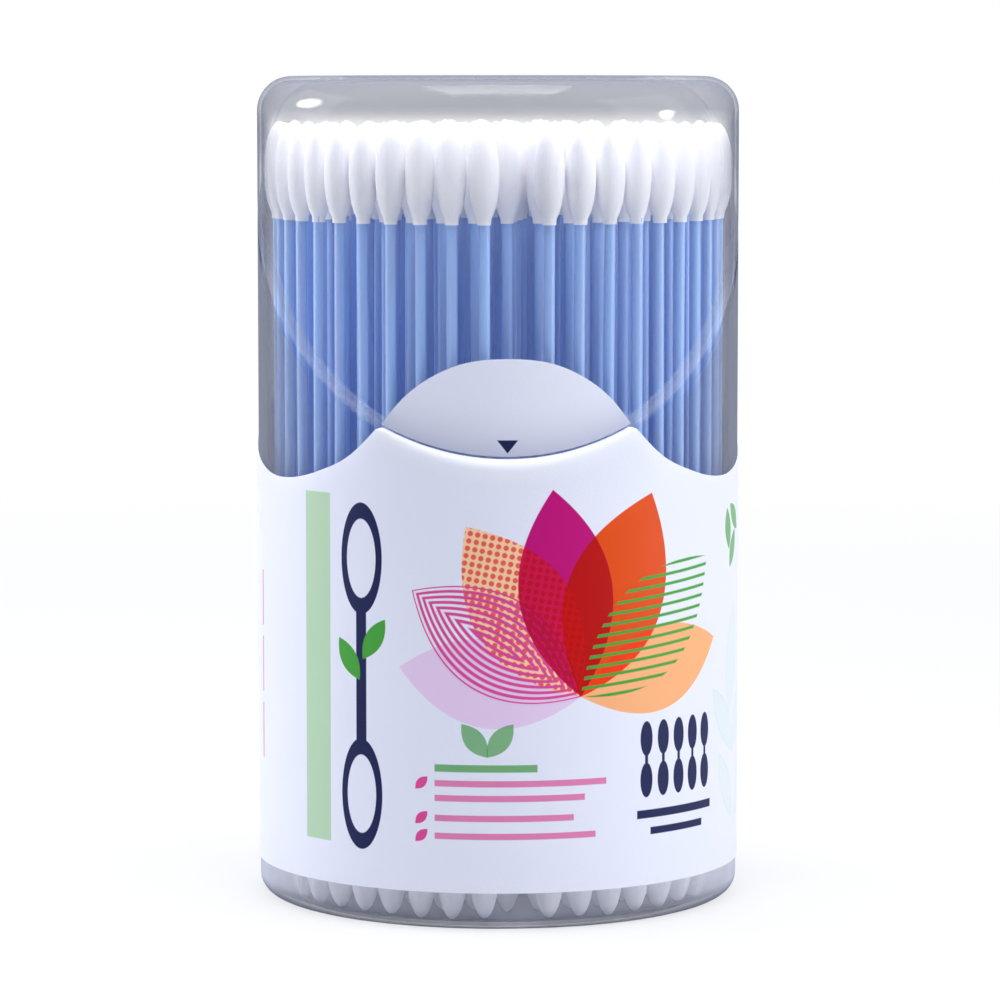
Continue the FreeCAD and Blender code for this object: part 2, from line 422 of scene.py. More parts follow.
@dataclass(frozen=True)
class Drum:
    """Sizes of the drum that tub and lid are cut from, and of the slanted cut between them."""

    radius: float
    height: float
    hinge_y: float
    wall: float = 0.4 * MM
    top_round: float = 3.33 * MM
    base_round: float = 1.9 * MM
    floor_top: float = 0.7 * MM
    floor_round: float = 1.2 * MM
    base_recess: float = 0.3 * MM
    ring_inset: float = 3.2 * MM
    recess_slope: float = 0.5 * MM
    front_low: float = 44.1 * MM
    gap: float = 0.1 * MM
    dish_rise: float = 10.5 * MM
    dish_depth: float = 0.6 * MM
    hinge_half_width: float = 0.6 * MM
    hinge_half_length: float = 15.0 * MM
    columns: int = 288
    cut_steps: int = 6000

    @classmethod
    def from_frame(cls) -> "Drum":
        """Read the radius, the height and the hinge's place from the frame.

        Returns:
            The drum.
        """
        low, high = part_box("tub_body")
        hinge = frame["joints"][0]["pos_m"]
        return cls(radius=high.x, height=high.z, hinge_y=hinge[1])

    @property
    def slope(self) -> float:
        """Rise of the slanted cut for each unit towards the back."""
        return (self.height - self.front_low) / (self.hinge_y + self.radius)

    @property
    def steepness(self) -> float:
        """Height of the slanted cut's thickness for each unit measured square to it."""
        return math.hypot(1, self.slope)

    @property
    def angles(self) -> np.ndarray:
        """Angles of the columns, in radians from the front, once round."""
        return np.linspace(-math.pi, math.pi, self.columns, endpoint=False)

    def seam(self, radius: np.ndarray | float, angle: np.ndarray | float) -> np.ndarray:
        """Height of the slanted cut: the top plus the slope times the way behind the hinge."""
        return self.height + self.slope * (-radius * np.cos(angle) - self.hinge_y)

    def dish(self, height: np.ndarray | float, offset: float = 0.0) -> np.ndarray:
        """Distance of the lid's wall from the axis: a long arc that draws in towards the cut.

        The arc's radius is (rise squared + depth squared) / (2 x depth), and its centre is level
        with the top of the dish, so the wall runs on straight above it.

        Args:
            height: Heights on the wall.
            offset: Way of the skin outwards from the outer one.

        Returns:
            The distances in metres.
        """
        bend = (self.dish_rise ** 2 + self.dish_depth ** 2) / (2 * self.dish_depth)
        below = np.maximum(self.front_low + self.dish_rise - height, 0)
        return self.radius - bend + np.sqrt((bend + offset) ** 2 - below ** 2)

    def cut(
        self, path: np.ndarray, slack: float, hinge_edge: float,
    ) -> tuple[np.ndarray, np.ndarray]:
        """Find where a path, carried round the axis, crosses the slanted cut.

        Height over the cut is the point's height less seam(radius, angle) less the slack. Beside
        the hinge strip the path is cut at a line square to it instead.

        Args:
            path: Points (distance from the axis, height) from below the cut to above it.
            slack: Move of the cut upwards, measured square to it.
            hinge_edge: How far behind the hinge line the plate ends beside the strip.

        Returns:
            Length along the path to each point, and to the crossing at each angle.
        """
        steps = np.hypot(*np.diff(path, axis=0).T)
        along = np.concatenate([[0], np.cumsum(steps)])
        fine = np.linspace(0, along[-1], self.cut_steps)
        radius = np.interp(fine, along, path[:, 0])
        height = np.interp(fine, along, path[:, 1])
        angle = self.angles[:, None]
        over = height - self.seam(radius, angle) - slack * self.steepness
        x, y = radius * np.sin(angle), -radius * np.cos(angle)
        on_top = height > self.height - 2 * self.wall
        beside = (np.abs(x) < self.hinge_half_length) & on_top & (y > 0)
        over = np.where(beside, self.hinge_y + hinge_edge - y, over)
        above = np.argmax(over > 0, axis=1)
        column = np.arange(len(self.angles))
        here, before = over[column, above], over[column, above - 1]
        share = np.clip(-before / (here - before), 0, 1)
        return along, fine[above - 1] + share * (fine[1] - fine[0])

    def carried(self, path: np.ndarray, along: np.ndarray, places: np.ndarray) -> np.ndarray:
        """Carry points of a path round the axis.

        Args:
            path: Points (distance from the axis, height).
            along: Length along the path to each of them.
            places: Lengths at which points are wanted, for every angle.

        Returns:
            The points, as (place, angle, xyz).
        """
        radius = np.interp(places, along, path[:, 0])
        height = np.interp(places, along, path[:, 1])
        return self.turned(radius, height)

    def turned(self, radius: np.ndarray, height: np.ndarray) -> np.ndarray:
        """Turn radius and height to x = r sin a, y = -r cos a, z, over the drum's angles."""
        angle = self.angles[None, :]
        return np.stack([radius * np.sin(angle), -radius * np.cos(angle), height + 0 * angle], -1)


@dataclass(frozen=True)
class ClearPlastic:
    """Clear moulded plastic: grey in its thickness and where it turns away, pale along the cut,
    which is partly a frosted edge and partly a painted highlight.
    """

    drum: Drum
    tint: Colour = (0.205, 0.217, 0.268)
    frost_and_cut_highlight: Colour = (0.8, 0.82, 0.9)
    # Paler plastic at the foot: painted light over the shaded gaps between the lower buds
    painted_fill_light: Colour = (0.52, 0.53, 0.61)
    facing: float = 0.035
    shoulder_share: float = 0.24
    painted_fill_share: float = 0.22
    base_share: float = 0.34
    edge_share: float = 1.75
    cut_share: float = 0.015
    line_share: float = 0.1
    streaks: tuple[float, float, float] = (34, 34, 5)
    ripples: tuple[float, float, float] = (60, 60, 25)

    # Reach of each zone and the width of its soft edge
    SHOULDER = (3.9 * MM, 1.4 * MM)
    BASE = (1.4 * MM, 1.2 * MM)
    FOOT = (4.6 * MM, 1.6 * MM)
    CUT = (1.7 * MM, 0.4 * MM)
    LINE = (0.16 * MM, 0.15 * MM)

    def material(self, name: str, gloss: float, edge_power: float) -> bpy.types.Material:
        """Build the material.

        Opacity is a small share, more where the moulding is thick at shoulder and base, and more
        where the wall turns away. Below the film the wall is paler, which is painted light over the
        shaded gaps between the lower buds. Beside the cut the rim and its bead stay clearer, with
        one fine pale line that is partly frosted edge and partly painted highlight. The gloss lies
        in the coat, which fades beside the cut and where the wall turns away.

        Args:
            name: The material's name.
            gloss: Weight of the coat on a wall seen square on.
            edge_power: How sharply the grey gathers where the wall turns away.

        Returns:
            The finished material.
        """
        graph = Graph.of_material(name)
        _, y, z = graph.place("Object")
        drum = self.drum

        def within(zone: tuple[float, float], away: Value) -> Value:
            """Mask of the places that are less far away than the zone reaches."""
            reach, soft = zone
            return (reach - away).edge(soft)

        shoulder = within(self.SHOULDER, drum.height - z)
        base = within(self.BASE, z)
        # Foot zone below the film, painted paler as light over the shaded gaps between the lower
        # buds
        foot = within(self.FOOT, z) & (1 - base)
        turned_away = graph.value("ShaderNodeLayerWeight", "Facing", None, {"Blend": 0.5})
        seam = abs(z - (y - drum.hinge_y) * drum.slope - drum.height)
        # Fine pale line along the cut: partly frosted edge, partly painted highlight
        line = within(self.LINE, seam)
        cut = within(self.CUT, seam) & (1 - shoulder)
        cloud = graph.noise(self.streaks, 3.0)
        wall = (
            self.facing + shoulder * self.shoulder_share + base * self.base_share
            + foot * self.painted_fill_share + (cloud - 0.5) * 0.05
            + (turned_away ** edge_power) * (1 - shoulder * 0.65) * self.edge_share
        )
        beside = (
            self.cut_share + line * self.line_share
            + (turned_away ** 3) * (self.edge_share * 0.2)
        )
        opacity = wall * (1 - cut) + beside * cut
        colour = graph.mix(graph.mix(self.tint, self.painted_fill_light, foot), self.frost_and_cut_highlight, line & cut)
        ripple = graph.noise(self.ripples, 1.0)
        coat = (1 - turned_away * 1.1) * (1 - cut * 0.85) * gloss
        return graph.surface(
            Base_Color=colour, Alpha=opacity.maths("MAXIMUM", 0.0, clamp=True), Roughness=0.3,
            Specular_IOR_Level=0.0, Coat_Weight=coat.maths("MAXIMUM", 0.0, clamp=True),
            Coat_Roughness=0.05, Coat_IOR=1.5, Normal=graph.bump(ripple, 0.3 * MM, 0.25),
        )


@dataclass(frozen=True)
class StickPlastic:
    """Light blue drawn plastic with faint streaks along the stick."""

    light: Colour = (0.34, 0.525, 0.93)
    dark: Colour = (0.36, 0.44, 0.76)

    def material(self) -> bpy.types.Material:
        """Build the material.

        Returns:
            The finished material.
        """
        graph = Graph.of_material("stick_plastic")
        streak = graph.noise((2600, 2600, 60), 2.0)
        colour = graph.mix(self.dark, self.light, (streak - 0.36).edge(0.3))
        return graph.surface(
            Base_Color=colour, Roughness=streak * 0.2 + 0.3, Specular_IOR_Level=0.35,
            Normal=graph.bump(streak, 0.05 * MM, 0.4),
        )


@dataclass(frozen=True)
class Cotton:
    """Wound white cotton: matt, with fine fibres and soft lumps, and painted shade in the hollows
    of its relief.
    """

    white: Colour = (0.955, 0.952, 0.985)
    # Darker lavender painted where the relief is low, as shade in its hollows
    hollow: Colour = (0.86, 0.85, 0.94)

    def material(self) -> bpy.types.Material:
        """Build the material.

        Returns:
            The finished material.
        """
        graph = Graph.of_material("cotton")
        lump = graph.noise((420, 420, 260), 2.0)
        fibre = graph.noise((5200, 5200, 2100), 3.0)
        # Painted shade: the colour darkens where the bump's height is low
        colour = graph.mix(self.hollow, self.white, (lump * 0.6 + fibre * 0.4 - 0.4).edge(0.22))
        return graph.surface(
            Base_Color=colour, Roughness=0.95, Specular_IOR_Level=0.2, Sheen_Weight=0.5,
            Sheen_Roughness=0.6, Normal=graph.bump(lump * 0.6 + fibre * 0.4, 0.12 * MM, 0.7),
        )


@dataclass(frozen=True)
class Ink:
    """Colours of the print."""

    film: Colour = srgb(232, 234, 245)
    sage: Colour = srgb(181, 212, 178)
    navy: Colour = srgb(20, 30, 78)
    leaf: Colour = srgb(70, 160, 60)
    lilac: Colour = srgb(231, 205, 234)
    peach: Colour = srgb(252, 205, 160)
    coral: Colour = srgb(232, 70, 70)
    magenta: Colour = srgb(209, 8, 122)
    pink: Colour = srgb(222, 74, 150)
    orange: Colour = srgb(248, 84, 8)
    apricot: Colour = srgb(250, 178, 122)
    faint: Colour = srgb(214, 230, 216)


class Print:
    """Print of the films, worked out from the arc and the height on the wall, in millimetres."""

    SOFT = 0.07

    def __init__(self, graph: Graph, drum: Drum) -> None:
        """Read the film's UV map as the arc from the front and the height.

        Args:
            graph: The nodes of the film's material.
            drum: The drum that the film lies on.
        """
        self.graph = graph
        self.ink = Ink()
        u, v, _ = graph.place("UV")
        self.across = (u - 0.5) * (2 * math.pi * drum.radius / MM)
        self.up = v * (drum.height / MM)
        self.colour: bpy.types.NodeSocket | Colour = self.ink.film

    def lay(self, ink: Colour, mask: Value, mode: str = "MIX", share: float = 1.0) -> None:
        """Print an ink where the mask is 1, over what is there."""
        self.colour = self.graph.mix(self.colour, ink, mask * share, mode)

    def local(self, centre: tuple[float, float], turn: float) -> tuple[Value, Value]:
        """Give the coordinates along and across a shape.

        Args:
            centre: The shape's middle, across the film and up.
            turn: Its turn in degrees.

        Returns:
            The way along it and the way across it.
        """
        cos, sin = math.cos(math.radians(turn)), math.sin(math.radians(turn))
        right, rise = self.across - centre[0], self.up - centre[1]
        return right * cos + rise * sin, rise * cos - right * sin

    def bar(self, left: float, right: float, low: float, high: float) -> Value:
        """Mask an upright rectangle.

        Args:
            left: Its left side, across the film.
            right: Its right side.
            low: Its lower side, up the film.
            high: Its upper side.

        Returns:
            The mask.
        """
        wide = (right - left) / 2 - abs(self.across - (left + right) / 2)
        tall = (high - low) / 2 - abs(self.up - (low + high) / 2)
        return (wide & tall).edge(self.SOFT)

    def leaf(self, centre: tuple[float, float], turn: float, length: float, width: float) -> Value:
        """Depth inside a pointed leaf.

        It is half the width times 1 - (2 along / length) squared, less |across|.

        Args:
            centre: Middle of the leaf, across the film and up.
            turn: Turn of its long axis in degrees.
            length: Its length.
            width: Its greatest width.

        Returns:
            The depth, in millimetres, which is below 0 outside.
        """
        along, across = self.local(centre, turn)
        return (along * along) * (-2 * width / length ** 2) + width / 2 - abs(across)

    def swabs(
        self, left: float, pitch: float, count: int, low: float, high: float, bud: float,
        hollow: float = 0.0,
    ) -> Value:
        """Mask of a row of upright swab pictograms: thin bars with an oval at each end.

        Args:
            left: Place of the first one across the film.
            pitch: Way from one to the next.
            count: How many.
            low: Height of their lower ends.
            high: Height of their upper ends.
            bud: Width of the ovals, which are 2.3 times as high.
            hollow: Depth inside the ovals from which they are bare, or 0 for solid ones.

        Returns:
            The mask.
        """
        aside = (self.across - left).wave(pitch)
        rise = abs(self.up - (low + high) / 2)
        tall, wide = 1.15 * bud, bud / 2
        over = (rise - ((high - low) / 2 - tall)) * (1 / tall)
        around = aside * (1 / wide)
        oval = (1 - over * over - around * around) * wide
        rod = (bud / 8 - aside) & ((high - low) / 2 - 2 * tall + bud / 8 - rise)
        field = self.bar(left - pitch / 2, left + (count - 0.5) * pitch, low - 1, high + 1)
        shape = (oval | rod).edge(self.SOFT)
        if hollow:
            shape = shape - (oval - hollow).edge(self.SOFT)
        return shape & field


@dataclass(frozen=True)
class LabelFilm:
    """Satin white film with its print."""

    drum: Drum
    cloud: Colour = (0.92, 0.92, 0.95)
    # Colour of the painted highlight where the film bends over the tub's rim
    stretched_coords_and_lip_highlight: Colour = srgb(252, 253, 255)
    # Colour of the painted shade in the hollow at the lid's foot
    painted_foot_shade: Colour = (0.7, 0.705, 0.78)

    def leaves(self, sheet: Print) -> None:
        """Print the fan of seven overlapping leaves, each in its own ink and pattern.

        Args:
            sheet: The sheet that is printed.
        """
        ink, soft = sheet.ink, sheet.SOFT
        root = (7.0, 22.2)

        def spoke(turn: float, length: float, width: float) -> tuple[Value, Value, Value]:
            """Place one leaf of the fan.

            Args:
                turn: Turn of its long axis in degrees.
                length: Its length, from the root that all leaves share.
                width: Its greatest width.

            Returns:
                The depth, and the ways along and across the leaf.
            """
            cos, sin = math.cos(math.radians(turn)), math.sin(math.radians(turn))
            centre = (root[0] + length / 2 * cos, root[1] + length / 2 * sin)
            return (sheet.leaf(centre, turn, length, width), *sheet.local(centre, turn))

        lilac, *_ = spoke(171, 17.6, 8.4)
        sheet.lay(ink.lilac, lilac.edge(soft))
        peach, along, across = spoke(124, 19.5, 9.6)
        sheet.lay(ink.peach, peach.edge(soft))
        row, column = (along + across).wave(1.0), (along - across).wave(1.0)
        dots = (0.36 - (row * row + column * column).maths("SQRT")).edge(0.12)
        sheet.lay(ink.coral, dots & peach.edge(soft), share=0.9)
        contour, *_ = spoke(148, 19.0, 9.4)
        lines = (0.17 - contour.wave(0.62)).edge(0.1)
        sheet.lay(ink.pink, lines & contour.edge(soft))
        magenta, *_ = spoke(98, 19.8, 9.2)
        sheet.lay(ink.magenta, magenta.edge(soft), "MULTIPLY")
        apricot, *_ = spoke(14, 17.8, 8.0)
        sheet.lay(ink.apricot, apricot.edge(soft))
        hatch, along, across = spoke(38, 20.0, 9.4)
        lines = (0.15 - (along * 0.55 + across * 0.84).wave(0.95)).edge(0.1)
        orange, *_ = spoke(68, 20.4, 10.6)
        sheet.lay(ink.orange, orange.edge(soft), "MULTIPLY")
        sheet.lay(ink.leaf, lines & hatch.edge(soft))

    def small_print(self, sheet: Print) -> None:
        """Print the bars, the swab pictograms and the little leaves round the fan.

        Args:
            sheet: The sheet that is printed.
        """
        ink, soft = sheet.ink, sheet.SOFT
        sheet.lay(ink.sage, sheet.bar(-21.7, -18.25, 7.7, 41.0))
        sheet.lay(ink.navy, sheet.swabs(-14.5, 12.0, 1, 7.3, 40.3, 4.6, 1.15))
        for centre, turn in (((-13.1, 27.4), 58), ((-15.9, 25.4), 122)):
            sheet.lay(ink.leaf, sheet.leaf(centre, turn, 4.6, 1.9).edge(soft))
        for centre, turn in (((-3.1, 18.2), 128), ((-0.7, 18.2), 52)):
            sheet.lay(ink.leaf, sheet.leaf(centre, turn, 4.0, 1.9).edge(soft), share=0.8)
        sheet.lay(ink.leaf, sheet.bar(-6.9, 2.8, 15.2, 15.9), share=0.85)
        for height, right in ((14.1, 9.6), (12.7, 7.4), (10.8, 6.3), (9.1, 8.5)):
            sheet.lay(ink.pink, sheet.bar(-6.9, right, height - 0.3, height + 0.3), share=0.8)
        for height in (14.1, 10.8, 9.1):
            sheet.lay(ink.pink, sheet.leaf((-8.2, height), 45, 1.7, 0.9).edge(soft))
        sheet.lay(ink.navy, sheet.swabs(14.1, 2.1, 5, 12.1, 19.4, 1.45))
        sheet.lay(ink.navy, sheet.bar(13.0, 23.6, 10.1, 10.9))
        sheet.lay(ink.navy, sheet.bar(14.6, 22.0, 8.5, 9.2))
        for centre, turn, length in (
            ((29.5, 24.0), 80, 11.0), ((27.0, 18.0), 130, 9.0), ((32.4, 18.5), 55, 9.5),
            ((27.6, 11.5), 120, 8.0), ((33.0, 11.0), 60, 8.5),
        ):
            faint = sheet.leaf(centre, turn, length, length / 3)
            sheet.lay(ink.faint, faint.edge(soft) - (faint - 0.18).edge(soft) * 0.6)
        for centre, turn in (((28.0, 36.6), 100), ((29.6, 34.6), 60), ((30.3, 37.6), 140)):
            sheet.lay(ink.leaf, sheet.leaf(centre, turn, 4.2, 1.8).edge(soft), share=0.85)
        for low in (14.0, 20.5, 27.0):
            sheet.lay(ink.pink, sheet.bar(-32.0, -31.5, low, low + 5.4), share=0.7)

    def mark(self, sheet: Print) -> None:
        """Print the small triangle that points down to the lid's foot.

        Args:
            sheet: The sheet that is printed.
        """
        top, foot, half = 46.45, 45.2, 1.0
        side = half * (1 / (top - foot))
        inside = ((sheet.up - foot) * side - abs(sheet.across)) & (top - sheet.up)
        sheet.lay(sheet.ink.navy, inside.edge(sheet.SOFT))

    def over_cut(self, sheet: Print) -> Value:
        """Work out the height over the slanted cut at each place on the wall.

        Args:
            sheet: The sheet that is printed.

        Returns:
            The height in millimetres.
        """
        d = self.drum
        forward = (sheet.across * (MM / d.radius)).maths("COSINE") * (d.radius / MM)
        return sheet.up - (d.height / MM) + (forward + d.hinge_y / MM) * d.slope

    def round_tub(self) -> bpy.types.Material:
        """Build the finish of the film round the tub.

        Returns:
            The finished material, which has a painted highlight where the film bends over the rim.
        """
        sheet = Print(Graph.of_material("printed_film"), self.drum)
        self.leaves(sheet)
        self.small_print(sheet)
        # Painted highlight on the film, strongest where it bends over the rim and fading down the
        # wall
        lip_highlight_mask = (self.over_cut(sheet) + 1.1).edge(2.2)
        sheet.lay(self.stretched_coords_and_lip_highlight, lip_highlight_mask * lip_highlight_mask, share=0.6)
        return self.finish(sheet)

    def push_spot(self) -> bpy.types.Material:
        """Build the finish of the film on the push spot.

        Returns:
            The finished material, with painted shade in the hollow at the lid's foot.
        """
        sheet = Print(Graph.of_material("push_spot_film"), self.drum)
        # Painted shade, darkest at the lid's foot and fading up the push spot
        hollow = (3.4 - self.over_cut(sheet)).edge(5.2)
        sheet.lay(self.painted_foot_shade, hollow * hollow, "MULTIPLY")
        self.mark(sheet)
        return self.finish(sheet)

    def finish(self, sheet: Print) -> bpy.types.Material:
        """End a sheet in the satin of the film.

        Args:
            sheet: The printed sheet.

        Returns:
            The finished material.
        """
        graph = sheet.graph
        cloud = graph.noise((45, 45, 45), 3.0)
        grain = graph.noise((3800, 3800, 3800), 2.0)
        colour = graph.mix(sheet.colour, self.cloud, (cloud - 0.3).edge(0.8) * 0.5, "MULTIPLY")
        return graph.surface(
            Base_Color=colour, Roughness=grain * 0.12 + 0.36, Specular_IOR_Level=0.14,
            Normal=graph.bump(grain * 0.2 + cloud, 0.25 * MM, 0.2),
        )


@dataclass(frozen=True)
class TubShell:
    """The tub: base with its recess, thin wall, rear part of the top, rim with its bead."""

    drum: Drum
    bead_width: float = 0.75 * MM
    bead_depth: float = 1.2 * MM
    bead_top: float = 64.8 * MM
    bead_run_out: float = 1.5 * MM

    def outside(self) -> np.ndarray:
        """Draw the path of the outer skin.

        Returns:
            Points (distance from the axis, height), from the middle of the base to that of the top.
        """
        d = self.drum
        ring, corner = d.radius - d.ring_inset, (d.radius - d.base_round, d.base_round)
        flat = d.radius - d.top_round
        shoulder = (flat, d.height - d.top_round)
        return np.concatenate([
            [(0, d.base_recess)],
            run((0, d.base_recess), (ring - d.recess_slope, d.base_recess), 12),
            [(ring - d.recess_slope, d.base_recess), (ring, 0)],
            arc(corner, d.base_round, -90, 0, 9),
            run((d.radius, d.base_round), (d.radius, shoulder[1]), 60),
            arc(shoulder, d.top_round, 0, 90, 15),
            run((flat, d.height), (0, d.height), 16), [(0, d.height)],
        ])

    def inside(self) -> np.ndarray:
        """Draw the path of the inner skin.

        Returns:
            Points (distance from the axis, height), from the middle of the floor to the ceiling's.
        """
        d = self.drum
        inner, ceiling = d.radius - d.wall, d.height - d.wall
        flat = d.radius - d.top_round
        return np.concatenate([
            [(0, d.floor_top)], run((0, d.floor_top), (inner - d.floor_round, d.floor_top), 10),
            arc((inner - d.floor_round, d.floor_top + d.floor_round), d.floor_round, -90, 0, 7),
            run((inner, d.floor_top + d.floor_round), (inner, d.height - d.top_round), 40),
            arc((flat, d.height - d.top_round), d.top_round - d.wall, 0, 90, 11),
            run((flat, ceiling), (0, ceiling), 12), [(0, ceiling)],
        ])

    def build(self, finish: bpy.types.Material) -> bpy.types.Object:
        """Make the closed shell.

        Rows run along the outer skin up to the cut, over the rim and the bead, and down the
        inner skin. A row that lies past the cut falls on it and is merged into it.

        Args:
            finish: The clear plastic.

        Returns:
            The shell.
        """
        d = self.drum
        outside, inside = self.outside(), self.inside()
        along, crossing = d.cut(outside, 0.0, d.hinge_half_width)
        outer = d.carried(outside, along, np.minimum(along[:, None], crossing[None, :]))
        inner_wall = d.radius - d.wall
        full = np.clip((self.bead_top - d.seam(inner_wall, d.angles)) / self.bead_run_out, 0, 1)
        width, depth = full * self.bead_width, full * self.bead_depth * d.steepness
        along, crossing = d.cut(inside, 0.0, d.hinge_half_width)
        lowered = crossing - depth
        inner = d.carried(inside, along, np.minimum(along[:, None], lowered[None, :]))
        landing = d.carried(inside, along, crossing[None, :])
        radius = inner_wall - width
        crest = d.turned(radius[None, :], d.seam(radius, d.angles)[None, :])
        under = d.turned(radius[None, :], (d.seam(radius, d.angles) - depth)[None, :])
        has_bead = (full > 0)[None, :, None]
        bead = np.concatenate([np.where(has_bead, edge, landing) for edge in (crest, under)])
        return shell("tub_shell", np.concatenate([outer, bead, inner[::-1]]), finish)


@dataclass(frozen=True)
class LidShell:
    """The lid: front part of the top, shoulder, and the front wall with its drawn-in push spot."""

    drum: Drum

    def skin(self, offset: float) -> np.ndarray:
        """Draw the path of one skin.

        Args:
            offset: Way of the skin outwards from the outer one.

        Returns:
            Points (distance from the axis, height), from below the cut to the middle of the top.
        """
        d = self.drum
        heights = np.linspace(d.front_low, d.front_low + d.dish_rise, 25)
        dish = np.stack([d.dish(heights, offset), heights], -1)
        flat, springing = d.radius - d.top_round, d.height - d.top_round
        top = d.height + offset
        return np.concatenate([
            dish, run((d.radius + offset, heights[-1]), (d.radius + offset, springing), 24),
            arc((flat, springing), d.top_round + offset, 0, 90, 15),
            run((flat, top), (0, top), 22), [(0, top)],
        ])

    def build(self, finish: bpy.types.Material) -> bpy.types.Object:
        """Make the closed shell: outer skin from the cut to the top, and back on the inner skin.

        Args:
            finish: The clear plastic.

        Returns:
            The shell.
        """
        d = self.drum
        edge = -(d.hinge_half_width + d.gap)
        skins = []
        for offset in (0.0, -d.wall):
            path = self.skin(offset)
            along, crossing = d.cut(path, d.gap, edge)
            skins.append(d.carried(path, along, np.maximum(along[:, None], crossing[None, :])))
        return shell("lid_shell", np.concatenate([skins[0][::-1], skins[1]]), finish)


@dataclass(frozen=True)
class HingeStrip:
    """The thin moulded strip that tub and lid bend about, with a groove along its middle."""

    drum: Drum
    thickness: float = 0.25 * MM
    groove: float = 0.1 * MM
    groove_half_width: float = 0.3 * MM
    points_across: int = 17
    points_along: int = 31

    def build(self, finish: bpy.types.Material) -> bpy.types.Object:
        """Make the strip as a ring of points across it, carried along X.

        Its top dips by the groove times 1 - (way from the middle / groove's half width) squared.

        Args:
            finish: The clear plastic.

        Returns:
            The strip.
        """
        d = self.drum
        front, back = d.hinge_y - d.hinge_half_width - d.gap, d.hinge_y + d.hinge_half_width
        y = np.linspace(front, back, self.points_across)
        away = (y - d.hinge_y) / self.groove_half_width
        top = d.height - self.groove * np.clip(1 - away ** 2, 0, 1)
        across = np.concatenate([y, y[::-1]])
        height = np.concatenate([top, np.full(self.points_across, d.height - self.thickness)])
        x = np.linspace(-d.hinge_half_length, d.hinge_half_length, self.points_along)
        rows = np.stack(np.broadcast_arrays(x[:, None], across[None, :], height[None, :]), -1)
        middle = np.array([d.hinge_y, d.height - self.thickness / 2])
        ends = [np.broadcast_to([end, *middle], (1, len(across), 3)) for end in (x[0], x[-1])]
        return shell("hinge_strip", np.concatenate([ends[0], rows, ends[1]]), finish, sharp=60)


